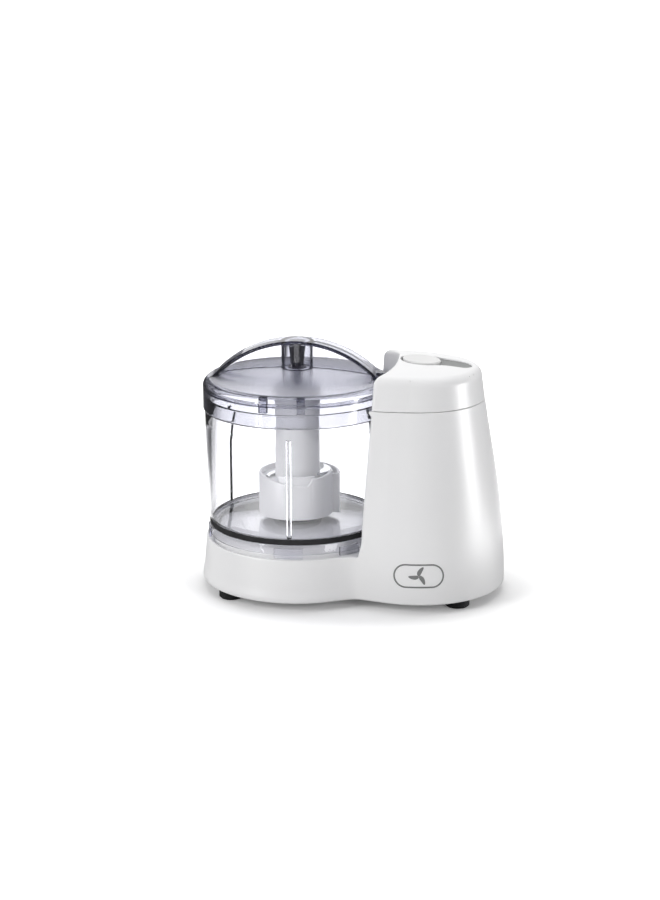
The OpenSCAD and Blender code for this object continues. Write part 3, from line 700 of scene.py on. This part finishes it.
backing = ring(56.93, 57.38, [0.1] * 4, 0.0, 2)
piece("gasket_backing", backing, "bowl", "white_plastic", 30)
seal = ring(57.42, 58.98, [0.1, 0.5, 0.5, 0.1], 0.05, 4)
piece("seal_ring", seal, "bowl", "black_rubber", 35, ("bowl_gasket",))

# -- lid ------------------------------------------------------------------------------------------

LID_R = 62.3
LID_Z = 122.1  # lower edge of the skirt
LID_WALL = 1.9
RIM_Z = 142.7  # where the dome starts, at DOME_R
DOME_R = 57.7
DOME_RISE = 5.6
ARCH_TOP = 167.3
ARCH_HALF, ARCH_RISE = 51.0, 20.0  # half its span and its rise
ARCH_R = (ARCH_HALF ** 2 + ARCH_RISE ** 2) / (2 * ARCH_RISE)
ARCH_T = 2.2
TUBE_OUT, TUBE_IN = 10.4, 8.8  # tube in the middle of the lid
TAB_Z = 144.1  # tab that reaches over to the tower
LUGS = (-104.4, -81, 15.6, 39, 135.6, 159)  # middles of the lugs, in degrees


def lid_field(x, y, z):
    rho = np.hypot(x, y)
    dome = RIM_Z + DOME_RISE * (1 - (rho / DOME_R) ** 2)
    shell = both(both(rho - LID_R, z - dome, 4.6), LID_Z - z, 0.5)
    under = both(rho - (LID_R - LID_WALL), z - dome + LID_WALL, 2.9)
    solid = minus(shell, under, 0.4)
    # A lip inside the skirt rests on the bowl's rim
    lip = both(np.abs(rho - 58.9) - 1.6, np.abs(z - 136.2) - 0.7, 0.4)
    solid = either(solid, lip, 0.5)
    middle = np.hypot(x, z - (ARCH_TOP - ARCH_R)) - ARCH_R + ARCH_T / 2
    width = 9.0 + 2.6 * np.abs(x) / 55.0
    arch = both(np.abs(middle) - ARCH_T / 2, np.abs(y) - width, 0.9)
    arch = np.maximum(np.maximum(arch, dome - 0.9 - z), np.abs(x) - 57.4)
    # The web and the tube stand on the dome and end inside the arch
    lower = np.maximum(middle, dome - 0.9 - z)
    web = np.maximum(np.maximum(np.abs(y) - 0.8, lower), np.maximum(9.4 - rho, np.abs(x) - 55.8))
    tube = np.maximum(np.maximum(rho - TUBE_OUT, TUBE_IN - rho), lower)
    tab = both(np.abs(y) - 4.0, np.abs(z - TAB_Z) - 2.2, 0.7)
    tab = both(np.maximum(tab, 51.0 - x), x - 66.0, 0.7)
    solid = either(solid, arch, 1.4)
    solid = either(solid, np.minimum(web, tube), 0.5)
    solid = either(solid, tab, 0.5)
    # A pin under the middle of the dome steadies the blade's column
    pin = both(rho - 2.4, np.maximum(131.3 - z, z - 147.5), 0.6)
    return either(solid, pin, 0.8)


lid_grid = (
    span((-63.4, 67.0, 0.72)),
    span((-63.4, 63.4, 0.72)),
    span((121.6, 123.0, 0.45), (123.0, 130.6, 1.0), (130.6, 168.0, 0.68)),
)
quad_piece("lid_shell", contour(lid_field, *lid_grid), "lid", "clear_plastic", 34, ("lid",))
lugs = [arc_pad(a - 2.5, a + 2.5, 57.3, 60.34, 131.5, 141.2, 6) for a in LUGS]
piece("lid_lugs", joined(*lugs), "lid", "clear_plastic", 30)


def ribbed(r, z, t):
    """Eight soft ribs round the pivot post."""
    if 3.2 < r < 5.0 and 149.7 < z < 163.4:
        return r * (1 + 0.17 * math.tanh(2.6 * math.cos(8 * t))), z
    return r, z


post = [
    (0.0, 148.4), (6.0, 148.4), (6.0, 149.0), (5.2, 149.4), (3.7, 149.6), (3.7, 149.9), (3.9, 153),
    (4.2, 158), (4.8, 163.2), (5.1, 163.6), (5.1, 164.4), (0.0, 164.4),
]
post = weld(turned(post, 128, closed=False, bend=ribbed))
piece("pivot_post", post, "lid", "dark_plastic", 40, ("lid_pivot",))

# -- blade assembly -------------------------------------------------------------------------------

HUB_R = 14.9  # column of the blades
HUB_TOP = 133.4
HUB_BORE = 11.4
ROOT_R = 14.6  # what grows out of the column starts just inside its surface
GUARD_Z = 51.0  # underside of the column and the guard
GUARD_R, GUARD_GROWTH = 23.6, 4.8  # the spiral's radius at its start, and its growth in one turn
GUARD_START = 6  # degrees

bore_and_wall = rounded(
    [(6.3, 124.2), (6.3, 112.8), (HUB_BORE, 112.8), (HUB_BORE, GUARD_Z), (HUB_R, GUARD_Z),
     (HUB_R, HUB_TOP), (3.0, HUB_TOP), (3.0, 130.4)],
    [0, 0, 0.3, 0.3, 0.5, 1.1, 0.3, 0], 5,
)
column = weld(turned([(0.0, 124.2)] + bore_and_wall + [(0.0, 130.4)], 144, closed=False))
piece("blade_column", column, "blade", "white_plastic", 35, ("blade_hub",))


def ease(t):
    t = max(0.0, min(1.0, t))
    return t * t * (3 - 2 * t)


def guard_top(deg):
    """Height of the spiral wall at an angle counted clockwise from the right."""
    if deg < 58:
        return 79.6 - 1.4 * ease(deg / 58)
    if deg < 68:
        return 78.2 - 4.4 * ease((deg - 58) / 10)
    return 73.8 + 4.2 * ease((deg - 68) / 95)


def spiral_wall(start, end, r0, r1, thick, top, low, steps):
    """A wall that follows a spiral clockwise, with a rounded upper edge and closed ends."""
    sections = []
    for i in range(steps + 1):
        t = i / steps
        deg = start + (end - start) * t
        r, h = r0 + (r1 - r0) * t, top(deg)
        c = r - thick / 2
        near, wide = thick * 0.12, thick * 0.36
        section = [(r, low), (r, h - 0.8), (c + wide, h - 0.25), (c + near, h),
                   (c - near, h), (c - wide, h - 0.25), (r - thick, h - 0.8), (r - thick, low)]
        sections.append(at_angle(section, -math.radians(deg)))
    return skin(sections, clockwise=True)


def slab(deg, r0, r1, half, low, high):
    """An upright bar between two radii in the direction of an angle in degrees."""
    t = math.radians(deg)
    u, v = Vector((math.cos(t), math.sin(t))), Vector((-math.sin(t), math.cos(t)))
    corners = [u * r + v * w for r, w in ((r0, -half), (r1, -half), (r1, half), (r0, half))]
    return skin([[(q.x, q.y, z) for q in corners] for z in (low, high)], clockwise=True)


def deck(start, end, r0, drop, thick, steps):
    """A winding deck inside the guard that follows its upper edge down."""
    sections = []
    for i in range(steps + 1):
        deg = start + (end - start) * i / steps
        r = GUARD_R + GUARD_GROWTH * (deg - GUARD_START) / 360 - 1.9
        z = guard_top(deg) - drop
        section = ((r0, z - thick), (r, z - thick), (r, z), (r0, z))
        sections.append(at_angle(section, -math.radians(deg)))
    return skin(sections, clockwise=True)


def crescent(start, end, reach, low, thick, steps=28):
    """A flat blade that sweeps out from the column and narrows to a point. start and end are in
    degrees, and reach is its outer radius."""
    bevel, point_width, leaves_column = 1.6, 0.25, 0.45
    sections = []
    for i in range(steps + 1):
        t = i / steps
        outer = ROOT_R + (reach - ROOT_R) * math.sin(math.pi * min(1.0, t * 0.62)) ** 0.9
        inner = ROOT_R + max(0.0, t - leaves_column) * 1.8 * (reach - ROOT_R) * 0.9
        inner = min(inner, outer - point_width)
        # The outer edge is ground to a bevel, as far as the blade is wide enough
        ground = outer - bevel if outer - bevel >= inner else inner * 1.001
        section = ((inner, low), (outer, low), (ground, low + thick), (inner, low + thick))
        sections.append(at_angle(section, math.radians(start + (end - start) * t)))
    return skin(sections)


blades = [
    crescent(-28, 54, 25.2, 77.0, 1.2), crescent(152, 214, 22.4, 75.2, 1.1),
    crescent(62, 144, 24.0, 55.0, 1.2), crescent(242, 324, 22.0, 55.0, 1.2),
]
piece("sickle_blades", joined(*blades), "blade", "blade_steel", 30, ("chopping_blades",))
collar = rounded([(9.8, 46.9), (17.2, 46.9), (15.6, 50.98), (9.8, 50.98)], [0.3, 1.2, 0.3, 0.3], 4)
piece("drive_collar", turned(collar, 120), "blade", "dark_plastic", 35, ("hub_collar",))

SPOKES = ((-2, 22.3), (140, 24.6), (-98, 22.5))  # degrees and outer radius
guard = [
    deck(64, 352, ROOT_R, drop=3.4, thick=1.4, steps=150),
    spiral_wall(
        GUARD_START, GUARD_START + 360, GUARD_R, GUARD_R + GUARD_GROWTH,
        thick=2.0, top=guard_top, low=GUARD_Z, steps=200,
    ),
    spiral_wall(52, 118, 21.7, 21.7, thick=1.8, top=lambda deg: 79.4, low=GUARD_Z + 4, steps=40),
]
for deg, r in SPOKES:
    guard.append(slab(deg, ROOT_R, r, half=1.0, low=GUARD_Z + 6, high=GUARD_Z + 20))
# A step joins the spiral's inner end to its outer end
guard.append(slab(-4.0, 22.6, 27.6, half=0.9, low=GUARD_Z + 0.2, high=77.4))
piece("spiral_guard", joined(*guard), "blade", "white_plastic", 35, ("blade_guard",))

# -- camera, lights and floor ---------------------------------------------------------------------

CAMERA_AT = Vector((0.1112, -1.2068, 0.4298))
CAMERA_AIM = Vector((-0.0157, 0.0, 0.0922))
camera = bpy.data.objects.new("camera", bpy.data.cameras.new("camera"))
bpy.context.scene.collection.objects.link(camera)
camera.location = CAMERA_AT
camera.rotation_euler = (CAMERA_AIM - CAMERA_AT).to_track_quat("-Z", "Y").to_euler()
camera.data.lens = 75.8
camera.data.sensor_width = 36.0
camera.data.clip_end = 50.0
bpy.context.scene.camera = camera


def softbox(name, at, towards, size, watts, diffuse=True, glossy=True):
    light = bpy.data.lights.new(name, "AREA")
    light.shape = "RECTANGLE"
    light.size, light.size_y = size
    light.energy = watts
    obj = bpy.data.objects.new(name, light)
    obj.location = at
    obj.rotation_euler = (Vector(towards) - Vector(at)).to_track_quat("-Z", "Y").to_euler()
    obj.visible_diffuse = diffuse
    obj.visible_glossy = glossy
    bpy.context.scene.collection.objects.link(obj)


# Name, place, aim, size and watts
softbox("key_left", (-1.0, -0.7, 0.6), (0, 0, 0.08), (0.55, 0.7), 9.5)
softbox("strip_left", (-0.85, -0.9, 0.16), (0, 0, 0.08), (0.3, 0.3), 3.0, diffuse=False)
softbox("strip_right", (1.25, -0.08, 0.17), (0.04, 0, 0.08), (0.42, 0.36), 7.5, diffuse=False)
softbox("fill_right", (0.98, -0.82, 0.5), (0.02, 0, 0.08), (0.4, 0.5), 5.6, glossy=False)
softbox("top", (0.0, 0.25, 1.3), (0, 0, 0), (1.0, 0.8), 5.0, glossy=False)
softbox("back", (0.1, 1.3, 0.8), (0, 0, 0.1), (1.4, 0.8), 3.5, glossy=False)


def sheet(name, corners):
    """A flat four-cornered piece of the stage."""
    mesh = bpy.data.meshes.new(name)
    mesh.from_pydata(corners, [], [(0, 1, 2, 3)])
    obj = bpy.data.objects.new(name, mesh)
    bpy.context.scene.collection.objects.link(obj)
    obj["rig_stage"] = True
    return obj


# Dark cards beside and above the set. Only clear and glossy surfaces pick them up.
cards = [
    sheet("card_left", [(-0.30, -0.30, 0.0), (-0.36, 0.75, 0.0), (-0.36, 0.75, 0.42), (-0.30, -0.30, 0.42)]),
    sheet("card_right", [(0.42, 0.32, 0.0), (0.32, 0.85, 0.0), (0.32, 0.85, 0.42), (0.42, 0.32, 0.42)]),
    sheet("card_above", [(-0.5, -0.9, 0.75), (0.5, -0.9, 0.75), (0.5, -0.25, 0.95), (-0.5, -0.25, 0.95)]),
]
for card in cards:
    card.visible_camera = False
    card.visible_diffuse = False
    card.visible_shadow = False
floor = sheet("floor", [(-30, -30, 0), (30, -30, 0), (30, 30, 0), (-30, 30, 0)])

# -- shader nodes ---------------------------------------------------------------------------------


def node(tree, kind, values=None, links=None, operation=None):
    """A shader node with values on its sockets and links into them."""
    made = tree.nodes.new("ShaderNode" + kind)
    if operation is not None:
        made.operation = operation
    for key, value in (values or {}).items():
        made.inputs[key].default_value = value
    for key, socket in (links or {}).items():
        tree.links.new(socket, made.inputs[key])
    return made


def maths(tree, operation, *terms):
    """The result of a maths node on numbers and sockets."""
    numbers = {k: term for k, term in enumerate(terms) if isinstance(term, float)}
    sockets = {k: term for k, term in enumerate(terms) if not isinstance(term, float)}
    return node(tree, "Math", numbers, sockets, operation).outputs[0]


def spread(tree, value, low, high, from_low=0.3, from_high=0.7, smooth=False):
    """The value taken from one range to another."""
    limits = {"From Min": from_low, "From Max": from_high, "To Min": low, "To Max": high}
    made = node(tree, "MapRange", limits, {"Value": value})
    if smooth:
        made.interpolation_type = "SMOOTHSTEP"
    return made.outputs["Result"]


def place(tree, kind="Object"):
    """Where a point is, as sockets X, Y and Z."""
    return node(tree, "SeparateXYZ", links={0: node(tree, "TexCoord").outputs[kind]}).outputs


def noise(tree, coord, scale, detail=3.0):
    values = {"Scale": scale, "Detail": detail, "Roughness": 0.5}
    return node(tree, "TexNoise", values, {"Vector": coord}).outputs["Fac"]


def studio():
    """The camera sees white. Surfaces see a tent that is bright behind and dim at the front."""
    world = bpy.data.worlds.new("studio")
    world.use_nodes = True
    nt = world.node_tree
    nt.nodes.clear()
    ramp = node(nt, "ValToRGB", links={"Fac": spread(nt, place(nt, "Generated")["Y"], 0.0, 1.0, -1.0, 1.0)})
    ramp.color_ramp.interpolation = "EASE"
    dim, bright = ramp.color_ramp.elements
    dim.position, dim.color = 0.42, (0.22, 0.22, 0.227, 1)
    bright.position, bright.color = 0.80, (1.0, 1.0, 1.0, 1)
    tent = node(nt, "Background", {"Strength": 1.0}, {"Color": ramp.outputs["Color"]})
    white = node(nt, "Background", {"Color": (1, 1, 1, 1), "Strength": 1.02})
    seen = node(nt, "LightPath").outputs["Is Camera Ray"]
    mix = node(nt, "MixShader", links={"Fac": seen, 1: tent.outputs[0], 2: white.outputs[0]})
    node(nt, "OutputWorld", links={"Surface": mix.outputs[0]})
    return world


bpy.context.scene.world = studio()
bpy.context.scene.view_settings.view_transform = "Standard"

# -- materials ------------------------------------------------------------------------------------


def finish(name, dark, light, rough, patch=30.0, grain=900.0, relief=0.00001, metallic=0.0, spec=0.5):
    """A moulded or machined surface: soft colour patches, uneven roughness and a fine relief."""
    mat = bpy.data.materials.new(name)
    mat.use_nodes = True
    nt = mat.node_tree
    bsdf = nt.nodes["Principled BSDF"]
    coord = node(nt, "TexCoord").outputs["Object"]
    mix = node(nt, "Mix")
    mix.data_type = "RGBA"
    mix.inputs["A"].default_value = (*dark, 1)
    mix.inputs["B"].default_value = (*light, 1)
    nt.links.new(spread(nt, noise(nt, coord, patch), 0, 1), mix.inputs["Factor"])
    nt.links.new(mix.outputs["Result"], bsdf.inputs["Base Color"])
    fine = noise(nt, coord, grain, 2.0)
    nt.links.new(spread(nt, fine, *rough), bsdf.inputs["Roughness"])
    bump = node(nt, "Bump", {"Strength": 0.35, "Distance": relief}, {"Height": fine})
    nt.links.new(bump.outputs["Normal"], bsdf.inputs["Normal"])
    bsdf.inputs["Metallic"].default_value = metallic
    bsdf.inputs["Specular IOR Level"].default_value = spec
    return mat


def clear(name, tint, rough, through, density):
    """Clear moulded plastic. Lamps shine through it and keep the colour through, and thick edges
    look grey, the more so the higher the density."""
    mat = bpy.data.materials.new(name)
    mat.use_nodes = True
    nt = mat.node_tree
    bsdf = nt.nodes["Principled BSDF"]
    coord = node(nt, "TexCoord").outputs["Object"]
    bsdf.inputs["Base Color"].default_value = (*tint, 1)
    bsdf.inputs["Transmission Weight"].default_value = 1.0
    bsdf.inputs["IOR"].default_value = 1.49
    nt.links.new(spread(nt, noise(nt, coord, 60.0), *rough), bsdf.inputs["Roughness"])
    path = node(nt, "LightPath").outputs
    passing = maths(nt, "MAXIMUM", path["Is Shadow Ray"], path["Is Diffuse Ray"])
    pane = node(nt, "BsdfTransparent", {"Color": (*through, 1)})
    mix = node(nt, "MixShader", links={"Fac": passing, 1: bsdf.outputs[0], 2: pane.outputs[0]})
    depth = node(nt, "VolumeAbsorption", {"Color": (0.30, 0.31, 0.42, 1), "Density": density})
    out = nt.nodes["Material Output"]
    nt.links.new(mix.outputs[0], out.inputs["Surface"])
    nt.links.new(depth.outputs[0], out.inputs["Volume"])
    return mat


def haze_on_top(mat, high, reach):
    """Roughens the clear plastic of the dome inside a radius, where the mould is frosted."""
    nt = mat.node_tree
    bsdf = nt.nodes["Principled BSDF"]
    at = place(nt)
    x = maths(nt, "SUBTRACT", at["X"], AXIS)
    rho2 = maths(nt, "ADD", maths(nt, "MULTIPLY", x, x), maths(nt, "MULTIPLY", at["Y"], at["Y"]))
    zone = maths(nt, "LESS_THAN", rho2, reach * reach)
    # The arch and its web stand over the dome and stay clear, and so does the skirt
    crest = RIM_Z * MM + DOME_RISE * MM + 0.0004
    fall = maths(nt, "MULTIPLY", rho2, DOME_RISE * MM / (DOME_R * MM) ** 2)
    surface = maths(nt, "SUBTRACT", crest, fall)
    below = maths(nt, "LESS_THAN", at["Z"], surface)
    above = maths(nt, "GREATER_THAN", at["Z"], 0.1402)
    mask = maths(nt, "MULTIPLY", maths(nt, "MULTIPLY", zone, below), above)
    base = bsdf.inputs["Roughness"].links[0].from_socket
    mix = node(nt, "Mix", {"B": high}, {"Factor": mask, "A": base})
    nt.links.new(mix.outputs["Result"], bsdf.inputs["Roughness"])


def sweep():
    """The floor: white for the camera, and darker where it lights the object or shows through it."""
    mat = finish("floor", (0.90, 0.90, 0.90), (0.92, 0.92, 0.92), (0.75, 0.85), 3.0, 200.0, spec=0.1)
    nt = mat.node_tree
    bsdf = nt.nodes["Principled BSDF"]
    path = node(nt, "LightPath").outputs
    at = place(nt)
    # Painted light: it glows more and more away from the object, so that the sweep is clean white at
    # its far end. The glow is weak in an oval round the object, a painted shade that deepens its contact
    # shadow.
    flat = {"X": maths(nt, "DIVIDE", at["X"], 0.105), "Y": maths(nt, "DIVIDE", at["Y"], 0.068)}
    far = node(nt, "VectorMath", None, {0: node(nt, "CombineXYZ", links=flat).outputs[0]}, "LENGTH")
    bsdf.inputs["Emission Color"].default_value = (1, 1, 1, 1)
    glow = spread(nt, far.outputs["Value"], 0.08, 1.0, 1.08, 2.3)
    nt.links.new(glow, bsdf.inputs["Emission Strength"])
    # Behind the object it also glows for rays that come through the clear plastic. Elsewhere those
    # rays see the darker floor, which draws the edges of the bowl and the lid.
    aside = spread(nt, maths(nt, "ABSOLUTE", at["X"]), 0.0, 1.0, 0.30, 0.17, smooth=True)
    away = spread(nt, maths(nt, "ABSOLUTE", at["Y"]), 0.0, 1.0, 0.07, 0.17, smooth=True)
    seen = maths(nt, "MAXIMUM", maths(nt, "MULTIPLY", away, aside), path["Is Camera Ray"])
    dim = maths(nt, "MAXIMUM", path["Is Diffuse Ray"], maths(nt, "SUBTRACT", 1.0, seen))
    tone = spread(nt, path["Is Diffuse Ray"], 0.24, 0.52, 0.0, 1.0)
    dark = node(nt, "BsdfDiffuse", links={"Color": tone})
    mix = node(nt, "MixShader", links={"Fac": dim, 1: bsdf.outputs[0], 2: dark.outputs[0]})
    # A bright streak to the right that only reflections see
    along = maths(nt, "ADD", at["Y"], maths(nt, "MULTIPLY", at["X"], 0.042))
    across = maths(nt, "ABSOLUTE", maths(nt, "ADD", along, 0.027))
    narrow = spread(nt, across, 0.0, 1.0, 0.19, 0.04, smooth=True)
    streak = maths(nt, "MULTIPLY", narrow, spread(nt, at["X"], 0.0, 1.0, 0.16, 0.32, smooth=True))
    streak = maths(nt, "MULTIPLY", streak, path["Is Glossy Ray"])
    lamp = node(nt, "Emission", links={"Strength": maths(nt, "MULTIPLY", streak, 9.0)})
    total = node(nt, "AddShader", links={0: mix.outputs[0], 1: lamp.outputs[0]})
    nt.links.new(total.outputs[0], nt.nodes["Material Output"].inputs["Surface"])
    return mat


# The numbers after the two colours and the range of roughness are the scale of the patches and of
# the grain, the depth of the relief in metres, and how metallic the surface is.
WHITE = finish(
    "white_plastic", (0.845, 0.845, 0.85), (0.86, 0.86, 0.86), (0.30, 0.36), 25.0, 1400.0, 0.0000012,
)
CLEAR = clear("clear_plastic", (0.985, 0.985, 0.99), (0.01, 0.03), (0.985, 0.985, 0.99), 36.0)
GREY = finish("grey_trim", (0.16, 0.165, 0.165), (0.20, 0.205, 0.20), (0.3, 0.42))
DARK = finish("dark_plastic", (0.03, 0.03, 0.04), (0.05, 0.05, 0.06), (0.3, 0.45), spec=0.25)
YELLOW = finish("yellow_plastic", (0.75, 0.48, 0.05), (0.82, 0.55, 0.08), (0.35, 0.5))
SLEEVE = finish("wire_sleeve", (0.30, 0.03, 0.03), (0.36, 0.05, 0.05), (0.4, 0.5))
RUBBER = finish(
    "black_rubber", (0.012, 0.012, 0.013), (0.03, 0.03, 0.032), (0.6, 0.85), 60, 1500, 0.00003, spec=0.25,
)
STEEL = finish("steel", (0.50, 0.51, 0.52), (0.62, 0.63, 0.64), (0.22, 0.38), 40, 1800, 0.000004, 1.0)
BLADE = finish("blade_steel", (0.62, 0.63, 0.64), (0.72, 0.73, 0.74), (0.12, 0.22), 30, 1600, 0.000003, 1.0)
BRONZE = finish("bronze", (0.45, 0.30, 0.14), (0.58, 0.42, 0.2), (0.3, 0.45), 80, 1800, 0.000006, 1.0)
COPPER = finish("copper", (0.55, 0.22, 0.10), (0.68, 0.32, 0.16), (0.25, 0.4), 80, 1800, 0.000006, 1.0)
BY_SLOT = {
    "white_plastic": WHITE, "clear_plastic": CLEAR, "grey_trim": GREY, "dark_plastic": DARK,
    "yellow_plastic": YELLOW, "wire_sleeve": SLEEVE, "black_rubber": RUBBER, "steel": STEEL,
    "blade_steel": BLADE, "bronze": BRONZE, "copper": COPPER,
}
# Pieces whose look isn't quite that of their slot
# Painted shade: the lid is a darker copy of the clear plastic, more tinted and with far denser absorption,
# so the edges of its arch and dome look grey.
CLEAR_LID = clear("clear_lid", (0.955, 0.955, 0.97), (0.01, 0.04), (0.97, 0.97, 0.98), 250.0)
haze_on_top(CLEAR_LID, high=0.22, reach=0.0572)
# Painted shade: the lugs are a still darker copy of the clear plastic, for how dark the thick lugs look.
CLEAR_LUGS = clear("clear_lugs", (0.85, 0.85, 0.88), (0.05, 0.12), (0.9, 0.9, 0.92), 300.0)
# Painted shade: the tabs are a darker copy of the clear plastic, which draws their outlines.
CLEAR_TABS = clear("clear_tabs", (0.93, 0.93, 0.95), (0.04, 0.1), (0.94, 0.94, 0.96), 120.0)
# The button is a darker copy of the white plastic, so its face reads a little darker than the cap.
BUTTON = finish(
    "button_plastic", (0.72, 0.72, 0.715), (0.75, 0.75, 0.745), (0.32, 0.4), 25.0, 1400.0, 0.000002,
)
BY_PIECE = {
    "button_cap": BUTTON, "lid_shell": CLEAR_LID, "lid_lugs": CLEAR_LUGS, "bowl_tabs": CLEAR_TABS,
}
CARD = finish("card", (0.10, 0.10, 0.105), (0.13, 0.13, 0.135), (0.8, 0.9), 3.0, 200.0, spec=0.05)

for card in cards:
    card.data.materials.append(CARD)
floor.data.materials.append(sweep())

nodes = frame["nodes"]
for row in frame["record"]["subparts"]:
    for s in nodes[row["node"]].material_slots:
        s.link = "OBJECT"
        s.material = BY_SLOT[row["material_slot"]]
for name, mat in BY_PIECE.items():
    bpy.data.objects[name].data.materials.append(mat)
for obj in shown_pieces():
    if "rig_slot" in obj and "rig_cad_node" not in obj and not obj.data.materials:
        obj.data.materials.append(BY_SLOT[obj["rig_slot"]])
